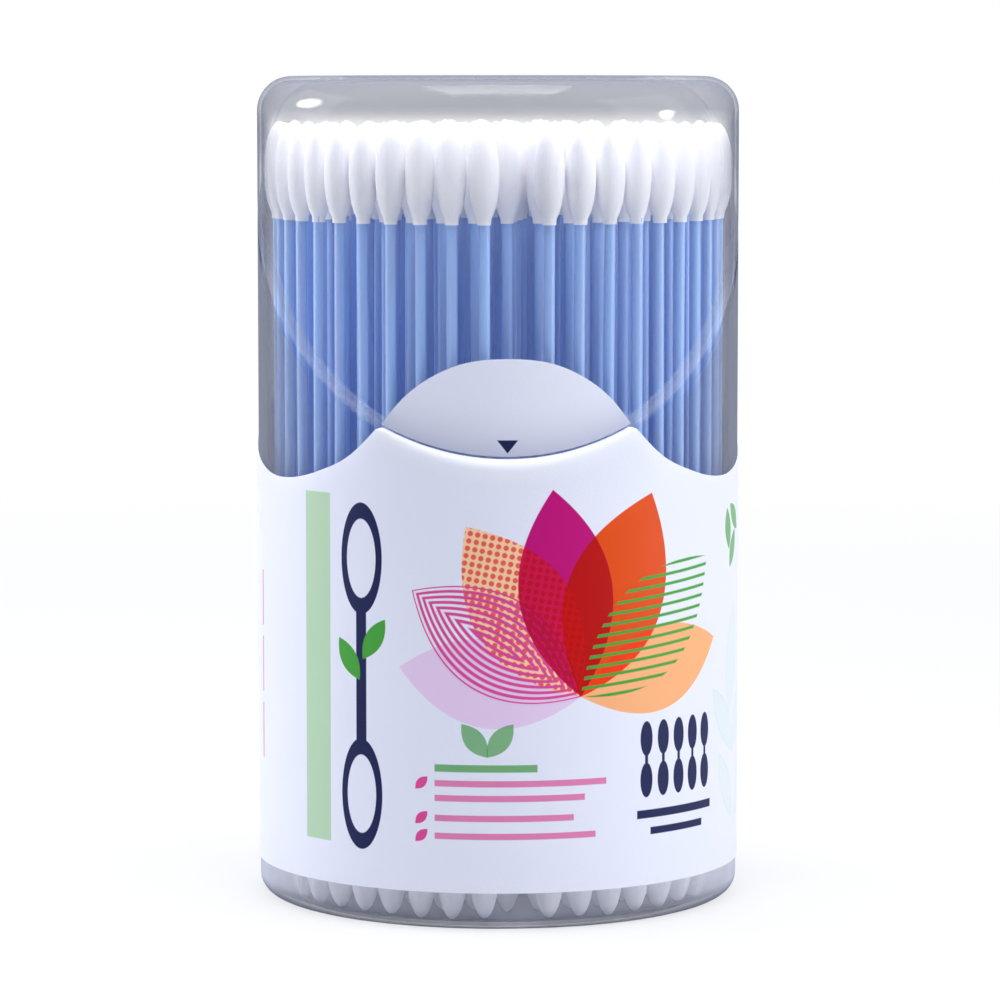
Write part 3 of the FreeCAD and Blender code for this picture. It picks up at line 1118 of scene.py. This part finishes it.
@dataclass(frozen=True)
class Films:
    """The printed film in its two pieces: round the tub, and on the lid's push spot."""

    drum: Drum
    film: float = 0.1 * MM
    glue: float = 0.03 * MM
    bottom: float = 3.7 * MM
    rim_clearance: float = 0.15 * MM
    lens_clearance: float = 0.1 * MM
    foot_clearance: float = 0.05 * MM
    ledge_rise: float = 0.13 * MM
    lip_bend: float = 0.55 * MM
    lip_run_out: float = 0.6 * MM
    lap_start: float = 172.0
    lap_angle: float = 9.0
    lap_step: float = 0.8
    lap_clearance: float = 0.02 * MM
    tip: float = 0.08 * MM
    columns: int = 420
    wall_points: int = 26
    bend_points: int = 8
    ledge_points: int = 3
    lens_columns: int = 121
    lens_points: int = 25
    search_steps: int = 4001
    search_angle: float = 40.0
    foot_rounds: int = 6

    # Angle from the front and rise over the cut's low point, on one side of the die-cut top edge
    DIE_CUT = (
        (0.0, 9.94), (14.0, 8.94), (24.5, 6.14), (31.0, 3.29), (38.0, 0.74), (49.0, -1.21),
        (65.0, -2.16), (80.0, -1.11), (95.0, 1.19), (110.0, 4.09), (130.0, 7.19), (155.0, 9.29),
        (180.0, 9.94),
    )

    def die_cut(self, angle: np.ndarray) -> np.ndarray:
        """Height of the die-cut edge: a smooth curve through its points, the same on both sides.

        Each stretch is a cubic whose slope at a point is that of the parabola through it and its
        two neighbours.

        Args:
            angle: Angles from the front in radians.

        Returns:
            Heights in metres.
        """
        side = np.array(self.DIE_CUT)
        past = (360 - side[-2, 0], side[-2, 1])
        right = np.concatenate([side, [past]])
        knots = np.concatenate([right[:0:-1] * (-1, 1), right])
        step, rise = np.diff(knots[:, 0]), np.diff(knots[:, 1])
        slope = rise / step
        tangent = (slope[:-1] * step[1:] + slope[1:] * step[:-1]) / (step[1:] + step[:-1])
        knots, step = knots[1:-1], step[1:-1]
        turn = (np.degrees(angle) + 180) % 360 - 180
        place = np.clip(np.searchsorted(knots[:, 0], turn, side="right") - 1, 0, len(step) - 1)
        t, h = (turn - knots[place, 0]) / step[place], step[place]
        start, end = knots[place, 1], knots[place + 1, 1]
        curve = (
            start * (1 + 2 * t) * (1 - t) ** 2 + tangent[place] * h * t * (1 - t) ** 2
            + end * t ** 2 * (3 - 2 * t) + tangent[place + 1] * h * t ** 2 * (t - 1)
        )
        return self.drum.front_low + curve * MM

    def wrapped(
        self, name: str, angle: np.ndarray, ring: np.ndarray, finish: bpy.types.Material,
    ) -> bpy.types.Object:
        """Make a film from the ring of points that its section has at each angle.

        Args:
            name: The piece's name.
            angle: Angles from the front in radians.
            ring: The section's points, as (point, radius and height, angle).
            finish: The printed film.

        Returns:
            The film, closed at both ends.
        """
        radius, height = ring[:, 0].T, ring[:, 1].T
        turn = np.broadcast_to(angle[:, None], radius.shape)
        rows = np.stack([radius * np.sin(turn), -radius * np.cos(turn), height], -1)
        ends = [np.broadcast_to(rows[i].mean(0), (1, *rows[i].shape)) for i in (0, -1)]
        rows = np.concatenate([ends[0], rows, ends[1]])
        turn = np.concatenate([turn[:1], turn, turn[-1:]])
        uv = np.stack([turn / (2 * math.pi) + 0.5, rows[..., 2] / self.drum.height], -1)
        points, uv = rows.reshape(-1, 3), uv.reshape(-1, 2)
        triangles = grid(*rows.shape[:2])
        a, b, c = points[triangles].transpose(1, 0, 2)
        triangles = triangles[np.linalg.norm(np.cross(b - a, c - a), axis=1) > FLAT]
        kept, number = np.unique(triangles, return_inverse=True)
        triangles, points, uv = number.reshape(-1, 3), points[kept], uv[kept]
        return piece(name, points, outwards(points, triangles), finish, sharp=50, uv=uv)

    def body_film(self, finish: bpy.types.Material) -> bpy.types.Object:
        """Make the film round the tub.

        It laps over itself at the back, and at the front its top edge turns in over the tub's rim,
        up to the lid's foot.

        Args:
            finish: The printed film.

        Returns:
            The film.
        """
        d = self.drum
        turn = np.linspace(self.lap_start - 360, self.lap_start + self.lap_angle, self.columns)
        angle = np.radians(turn)
        lapped = np.clip((turn - self.lap_start) / self.lap_step, 0, 1)
        inner = d.radius + self.glue + lapped * (self.film + self.lap_clearance)
        rim, die_cut = d.seam(d.radius, angle), self.die_cut(angle)
        over = np.clip((die_cut - rim) / self.lip_run_out, 0, 1)
        plain = self.plain_section(inner, np.minimum(die_cut, rim - self.rim_clearance))
        lipped = self.lipped_section(inner, angle)
        return self.wrapped("body_film", angle, plain + (lipped - plain) * over, finish)

    def plain_section(self, inner: np.ndarray, top: np.ndarray) -> np.ndarray:
        """Draw the section of a flat film with a rounded top edge.

        Args:
            inner: Radius of the film's inner face over the angles.
            top: Height of its top edge over the angles.

        Returns:
            Its ring, as (point, radius and height, angle), with as many points as the lipped one.
        """
        outer, bend = inner + self.film, self.film / 2
        wall = np.linspace(0, 1, self.wall_points)
        ring = [(outer, self.bottom + (top - bend - self.bottom) * share) for share in wall]
        for turn in math.pi * np.linspace(0, 1, self.bend_points + self.ledge_points + 3)[1:-1]:
            ring.append((inner + bend + bend * np.cos(turn), top - bend + bend * np.sin(turn)))
        ring += [(inner, self.bottom + (top - bend - self.bottom) * share) for share in wall[::-1]]
        return np.array(ring)

    def lipped_section(self, inner: np.ndarray, angle: np.ndarray) -> np.ndarray:
        """Draw the section of the film that bends over the tub's rim, up to the lid's foot.

        The bend is a curve of three control points: one on the wall below the corner, the corner,
        and one on the ledge, which lies along the slanted cut.

        Args:
            inner: Radius of the film's inner face over the angles.
            angle: Angles from the front in radians.

        Returns:
            Its ring, as (point, radius and height, angle), with as many points as the plain one.
        """
        d = self.drum
        outer = inner + self.film
        foot = np.minimum(d.dish(self.lens_foot(angle)) + self.foot_clearance, outer - self.film)
        corner = d.seam(outer, angle) + self.ledge_rise
        landing = outer - np.minimum(self.lip_bend / math.sqrt(2), (outer - foot) / 2)
        ledge = d.seam(landing, angle) + self.ledge_rise
        start = corner - self.lip_bend
        wall = np.linspace(0, 1, self.wall_points)
        ring = [(outer, self.bottom + (start - self.bottom) * share) for share in wall]
        for t in np.linspace(0, 1, self.bend_points + 1)[1:]:
            ring.append((
                outer * (1 - t * t) + landing * t * t,
                start * (1 - t) ** 2 + corner * 2 * t * (1 - t) + ledge * t * t,
            ))
        for t in np.linspace(0, 1, self.ledge_points + 1)[1:]:
            radius = landing + (foot - landing) * t
            ring.append((radius, d.seam(radius, angle) + self.ledge_rise))
        ring.append((foot, d.seam(foot, angle) + self.glue))
        low = d.seam(inner, angle) + self.glue
        ring += [(inner, self.bottom + (low - self.bottom) * share) for share in wall[::-1]]
        return np.array(ring)

    def lid_film(self, finish: bpy.types.Material) -> bpy.types.Object:
        """Make the film on the push spot, between the lid's foot and the die-cut arc.

        Args:
            finish: The printed film.

        Returns:
            The film.
        """
        d = self.drum
        wide = np.radians(np.linspace(-self.search_angle, self.search_angle, self.search_steps))
        reach = np.abs(wide[self.die_cut(wide) - self.lens_foot(wide) > self.tip]).max()
        angle = np.linspace(-reach, reach, self.lens_columns)
        low, high = self.lens_foot(angle), self.die_cut(angle)
        share = np.linspace(0, 1, self.lens_points)
        ring = []
        for offset, order in ((self.glue + self.film, share), (self.glue, share[::-1])):
            for part in order:
                height = low + (high - low) * part
                ring.append((d.dish(height, offset), height))
        return self.wrapped("lid_film", angle, np.array(ring), finish)

    def lens_foot(self, angle: np.ndarray) -> np.ndarray:
        """Find the push spot film's lower edge, which follows the cut on the drawn-in wall.

        The height and the wall's distance from the axis depend on each other, so both are worked
        out over and over until they settle.

        Args:
            angle: Angles from the front in radians.

        Returns:
            The heights in metres.
        """
        d = self.drum
        height = d.seam(d.radius, angle)
        for _ in range(self.foot_rounds):
            height = d.seam(d.dish(height), angle) + (d.gap + self.lens_clearance) * d.steepness
        return height


@dataclass(frozen=True)
class Swabs:
    """The upright swabs, row by row, each of a stick and two wound buds."""

    # Shares of a stick's length at which its rings stand, of which the outermost are points
    RINGS = (0, 0, 0.25, 0.5, 0.75, 1, 1)

    # Rings of a bud and points round each, for a bud that is seen whole and for one further in
    OUTER_BUD = (14, 12)
    INNER_BUD = (9, 7)

    stick_radius: float = 0.5 * MM
    bud_radius: float = 1.475 * MM
    into_bud: float = 1.5 * MM
    thinnest: float = 0.95
    shorter: float = 0.25 * MM
    bow: float = 0.15 * MM
    lean: float = 0.16 * MM
    neck_radius: float = 0.66 * MM
    stick_seed: int = 1573
    bud_seed: int = 11
    stick_sides: int = 8
    half_way: float = 30 * MM
    parting: float = 1.6

    def places(self, node: str) -> np.ndarray:
        """Find the middle of each stick of a node.

        The corners are sorted by their angle about the tub's axis and parted wherever the way to
        the next one is wider than the parting. Each group's mean is a stick's middle.

        Args:
            node: The CAD node of the sticks.

        Returns:
            x and y of each stick.
        """
        vertices = frame["nodes"][node].data.vertices
        flat = np.zeros(len(vertices) * 3, np.float32)
        vertices.foreach_get("co", flat)
        corners = np.unique(np.round(flat.reshape(-1, 3)[:, :2].astype(float), 6), axis=0)
        if np.hypot(*corners.T).max() < 3 * self.stick_radius:
            return corners.mean(0, keepdims=True)
        turn = np.arctan2(corners[:, 0], -corners[:, 1])
        order = np.argsort(turn)
        corners, turn = corners[order], turn[order]
        after = np.concatenate([turn[1:], turn[:1] + 2 * math.pi])
        wide = (after - turn) * np.hypot(*corners.T).mean() > self.parting * self.stick_radius
        first = int(np.argmax(wide)) + 1
        corners, wide = np.roll(corners, -first, axis=0), np.roll(wide, -first)
        group = np.concatenate([[0], np.cumsum(wide[:-1])])
        count = np.bincount(group)
        return np.stack([np.bincount(group, corners[:, axis]) / count for axis in (0, 1)], -1)

    def lathe(
        self, places: np.ndarray, radius: np.ndarray, height: np.ndarray, sides: int,
        turn: np.ndarray,
    ) -> tuple[np.ndarray, np.ndarray]:
        """Turn one profile about each place.

        Args:
            places: x and y of each copy's rings, as (copy, ring, 2), or (copy, 1, 2) if upright.
            radius: Radius of each ring, copy by copy.
            height: Height of each ring, copy by copy.
            sides: Points round a ring.
            turn: Turn of each copy in radians.

        Returns:
            Points and triangles of all copies, whose first and last rings are points.
        """
        round_it = 2 * math.pi * np.arange(sides) / sides
        angle = turn[:, None, None] + round_it[None, None, :]
        x = places[:, :, 0, None] + radius[:, :, None] * np.cos(angle)
        y = places[:, :, 1, None] + radius[:, :, None] * np.sin(angle)
        points = np.stack([x, y, np.broadcast_to(height[:, :, None], x.shape)], -1)
        rings = radius.shape[1]
        once = grid(rings, sides)
        shift = (np.arange(len(places)) * rings * sides)[:, None, None]
        return merged(points.reshape(-1, 3), (once[None] + shift).reshape(-1, 3))

    def sticks(self, node: str, finish: bpy.types.Material) -> bpy.types.Object:
        """Make a row's sticks, which run on a little into the cotton at both ends.

        A stick bows and leans by a hair. With the share from 0 to 1 along it, its rings move aside
        by the bow times sin(pi share), and by up to the lean at each end. A ring has the area of
        the round stick: half r squared times the sum of its sides' sines is pi radius squared.

        Args:
            node: The CAD node of the sticks.
            finish: The blue plastic.

        Returns:
            The sticks.
        """
        places = self.places(node)
        places = places[np.argsort(np.arctan2(places[:, 0], -places[:, 1]))]
        count, sides = len(places), self.stick_sides
        chance = np.random.default_rng(self.stick_seed + 100 + count)
        low, high = (corner.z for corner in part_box(node))
        share = np.array(self.RINGS)
        height = low - self.into_bud + (high - low + 2 * self.into_bud) * share
        full = self.stick_radius * math.sqrt(2 * math.pi / (sides * math.sin(2 * math.pi / sides)))
        radius = np.full(len(share), full)
        radius[[0, -1]] = 0
        way = chance.uniform(0, 2 * math.pi, (3, count))
        size = chance.uniform(0, 1, (3, count))
        moves = size[..., None] * np.stack([np.cos(way), np.sin(way)], -1)
        bow, foot, head = moves[:, :, None, :]
        share = share[None, :, None]
        lean = (1 - share) * foot + share * head
        aside = self.bow * np.sin(math.pi * share) * bow + self.lean * lean
        radius, height = np.tile(radius, (count, 1)), np.tile(height, (count, 1))
        points, triangles = self.lathe(
            places[:, None, :] + aside, radius, height, sides, np.zeros(count),
        )
        return piece(node + "_drawn", points, triangles, finish, sharp=50)

    def buds(
        self, node: str, sticks: str, finish: bpy.types.Material, shown: bool,
    ) -> bpy.types.Object:
        """Make a row's buds at one end.

        A bud is an ellipse turned about the stick: the rings stand at shares of its length of
        (1 - cos a) / 2, with a radius of the full one times sin a, but never less than the neck's
        where the stick comes out. Each bud is thinner and shorter than the full one by a hair.

        Args:
            node: The CAD node of the buds.
            sticks: The CAD node of their sticks.
            finish: The cotton.
            shown: Whether the row is the outer one, which gets more rings.

        Returns:
            The buds.
        """
        places = self.places(sticks)
        low, high = (corner.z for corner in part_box(node))
        upper = low > self.half_way
        chance = np.random.default_rng(self.bud_seed + len(places) + 7 * upper)
        count = len(places)
        rings, sides = self.OUTER_BUD if shown else self.INNER_BUD
        round_it = math.pi * np.linspace(0, 1, rings)
        share = (1 - np.cos(round_it)) / 2
        full = self.bud_radius * chance.uniform(self.thinnest, 1.0, (count, 1))
        radius = full * np.sin(round_it)[None, :]
        radius[:, :3], radius[:, -1] = np.maximum(radius[:, :3], self.neck_radius), 0
        radius = np.concatenate([np.zeros((count, 1)), radius], 1)
        share = np.concatenate([[0], share])
        length = (high - low) - chance.uniform(0, self.shorter, (count, 1))
        height = low + length * share[None, :] if upper else high - length * share[None, :]
        turn = chance.uniform(0, math.pi, count)
        points, triangles = self.lathe(places[:, None, :], radius, height, sides, turn)
        return piece(node + "_wound", points, triangles, finish, sharp=80)


class Reach(Enum):
    """What a lamp acts on: everything, plain light alone, or gloss alone as a sparkle does."""

    ALL = "all"
    LIGHT = "light"
    GLOSS = "gloss"


@dataclass(frozen=True)
class Lamp:
    """One soft lamp, in metres and watts."""

    name: str
    place: tuple[float, float, float]
    aim: tuple[float, float, float]
    size: tuple[float, float]
    power: float
    reach: Reach = Reach.ALL

    def build(self) -> bpy.types.Object:
        """Make the lamp, turned to its aim.

        Returns:
            The lamp.
        """
        data = bpy.data.lights.new(self.name, "AREA")
        data.shape = "ELLIPSE" if self.reach is Reach.GLOSS else "RECTANGLE"
        data.size, data.size_y = self.size
        data.energy = self.power
        made = bpy.data.objects.new(self.name, data)
        made.location = self.place
        towards = Vector(self.aim) - Vector(self.place)
        made.rotation_euler = towards.to_track_quat("-Z", "Y").to_euler()
        made.visible_diffuse = self.reach is not Reach.GLOSS
        made.visible_glossy = self.reach is not Reach.LIGHT
        bpy.context.scene.collection.objects.link(made)
        return made


@dataclass(frozen=True)
class Studio:
    """Pale floor, white surroundings, soft lamps and the camera."""

    white: Colour = (1.0, 1.0, 1.0)
    sky: Colour = (0.76, 0.83, 1.0)
    world_light: float = 0.33
    floor_colour: Colour = (0.65, 0.665, 0.7)
    floor_glow: float = 0.6
    floor_fade: tuple[float, float] = (0.12, 0.4)
    floor_radius: float = 8.0
    floor_points: int = 96
    camera_place: tuple[float, float, float] = (-17.05 * MM, -443.9 * MM, 82.24 * MM)
    camera_dip: float = 5.613
    camera_turn: float = -2.2246
    camera_lens: float = 163.2
    camera_sensor: float = 36.0
    camera_clip: tuple[float, float] = (0.01, 50.0)

    LAMPS = (
        Lamp("left_softbox", (-0.39, 0.12, 0.16), (0, 0, 0.04), (0.3, 0.4), 1.2),
        Lamp("right_softbox", (0.39, -0.1, 0.16), (0, 0, 0.04), (0.32, 0.42), 1.05),
        Lamp("top_softbox", (0.0, -0.06, 0.44), (0, 0, 0.06), (0.25, 0.25), 2.08),
        Lamp("back_softbox", (0.0, 0.4, 0.25), (0, 0, 0.05), (0.4, 0.3), 0.65),
        Lamp(
            "left_sparkle", (-0.427, 0.121, 0.211), (-0.0185, -0.0143, 0.0777), (0.13, 0.15), 2.6,
            Reach.GLOSS,
        ),
        Lamp(
            "right_sparkle", (0.463, -0.053, 0.098), (0.0153, -0.0179, 0.077), (0.08, 0.05), 0.6,
            Reach.GLOSS,
        ),
    )

    def seen(self, graph: Graph) -> Value:
        """Mask the rays that show the surroundings: to the eye, in gloss and through plastic.

        Args:
            graph: The nodes that ask.

        Returns:
            The mask.
        """
        path = graph.node("ShaderNodeLightPath")
        eye, gloss, through = (
            Value(graph, path.outputs[f"Is {kind} Ray"])
            for kind in ("Camera", "Glossy", "Transmission")
        )
        return eye | gloss | through

    def surroundings(self) -> None:
        """Light the object evenly, and show white to the eye and in gloss."""
        world = bpy.data.worlds.new("surroundings")
        bpy.context.scene.world = world
        graph = Graph(world)
        seen = self.seen(graph)
        inputs = {
            "Color": graph.mix(self.sky, self.white, seen),
            "Strength": seen * (1 - self.world_light) + self.world_light,
        }
        light = graph.node("ShaderNodeBackground", None, inputs)
        graph.node("ShaderNodeOutputWorld", None, {"Surface": light.outputs[0]})

    def floor(self) -> bpy.types.Object:
        """Lay the floor: partly a glow of plain white, partly paint that keeps the shadow.

        Returns:
            The floor.
        """
        graph = Graph.of_material("floor_paint")
        inputs = {"Color": opaque(self.white), "Strength": 1.0}
        glow = graph.node("ShaderNodeEmission", None, inputs)
        paint = graph.node("ShaderNodeBsdfDiffuse", None, {"Color": opaque(self.floor_colour)})
        x, y, _ = graph.place("Object")
        near, far = self.floor_fade
        away = ((x * x + y * y).maths("SQRT") - (near + far) / 2).edge(far - near)
        share = self.seen(graph) * (away * (1 - self.floor_glow) + self.floor_glow)
        inputs = {0: share, 1: paint.outputs[0], 2: glow.outputs[0]}
        both = graph.node("ShaderNodeMixShader", None, inputs)
        graph.node("ShaderNodeOutputMaterial", None, {"Surface": both.outputs[0]})
        rim, radius = self.floor_points, self.floor_radius
        angle = np.linspace(0, 2 * math.pi, rim, endpoint=False)
        points = np.stack([radius * np.cos(angle), radius * np.sin(angle), 0 * angle], -1)
        points = np.concatenate([points, [(0, 0, 0)]])
        here = np.arange(rim)
        triangles = np.stack([here, (here + 1) % rim, np.full(rim, rim)], -1)
        made = piece("studio_floor", points, triangles, graph.owner)
        return made

    def camera(self) -> bpy.types.Object:
        """Set up the camera at the photograph's viewing angle.

        Returns:
            The camera.
        """
        data = bpy.data.cameras.new("camera")
        data.lens, data.sensor_width = self.camera_lens, self.camera_sensor
        data.clip_start, data.clip_end = self.camera_clip
        made = bpy.data.objects.new("camera", data)
        made.location = self.camera_place
        tilt, turn = math.radians(90 - self.camera_dip), math.radians(self.camera_turn)
        made.rotation_euler = (tilt, 0, turn)
        bpy.context.scene.collection.objects.link(made)
        bpy.context.scene.camera = made
        return made

    def build(self) -> None:
        """Set up everything that isn't the object."""
        self.surroundings()
        self.floor()
        self.camera()
        for lamp in self.LAMPS:
            lamp.build()


@dataclass
class Workshop:
    """Builds the pieces in order and sets each, but the hinge strip, on its body."""

    drum: Drum

    def settle(self, made: bpy.types.Object, body: Body, slot: Slot, *nodes: str) -> None:
        """Let a finished piece ride on its body and stand for its CAD nodes.

        Args:
            made: The piece.
            body: The body that it moves with.
            slot: Its material slot in the record, which is not used.
            nodes: The CAD nodes that it stands for.
        """
        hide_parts(*nodes)
        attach(made, body.value)
        LOG.info("%s: %d triangles", made.name, len(made.data.polygons))

    def shells(self) -> None:
        """Make the tub, the lid and the hinge strip, which let the lamps' light through."""
        plastic = ClearPlastic(self.drum)
        clear = plastic.material("lid_plastic", gloss=1.0, edge_power=6.0)
        tub = TubShell(self.drum).build(plastic.material("tub_plastic", gloss=0.35, edge_power=3.5))
        lid = LidShell(self.drum).build(clear)
        strip = HingeStrip(self.drum).build(clear)
        self.settle(tub, Body.TUB, Slot.CLEAR, "tub_body")
        self.settle(lid, Body.LID, Slot.CLEAR, "lid")
        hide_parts("hinge_web")
        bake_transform(strip)
        for made in (tub, lid, strip):
            made.visible_shadow = False

    def films(self) -> None:
        """Make the two pieces of the printed film, of which the larger lets light to the swabs."""
        films, label = Films(self.drum), LabelFilm(self.drum)
        body, lid = films.body_film(label.round_tub()), films.lid_film(label.push_spot())
        self.settle(body, Body.TUB, Slot.FILM, "body_label")
        self.settle(lid, Body.LID, Slot.FILM, "lid_label")
        body.visible_shadow = False

    def swabs(self) -> None:
        """Make every row of swabs."""
        swabs, blue, cotton = Swabs(), StickPlastic().material(), Cotton().material()
        for sticks in sorted(name for name in frame["nodes"] if "stick" in name):
            self.settle(swabs.sticks(sticks, blue), Body.TUB, Slot.STICK, sticks)
            for end in ("upper_bud", "lower_bud"):
                node = sticks.replace("stick", end)
                made = swabs.buds(node, sticks, cotton, sticks.startswith("row_1"))
                self.settle(made, Body.TUB, Slot.COTTON, node)

    def build(self) -> None:
        """Make every piece of the object."""
        self.shells()
        self.films()
        self.swabs()


def main() -> None:
    """Build the object and its studio."""
    logging.basicConfig(level=logging.INFO)
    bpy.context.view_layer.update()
    bpy.context.scene.view_settings.view_transform = "Standard"
    Workshop(Drum.from_frame()).build()
    Studio().build()


if __name__ == "__main__":
    main()
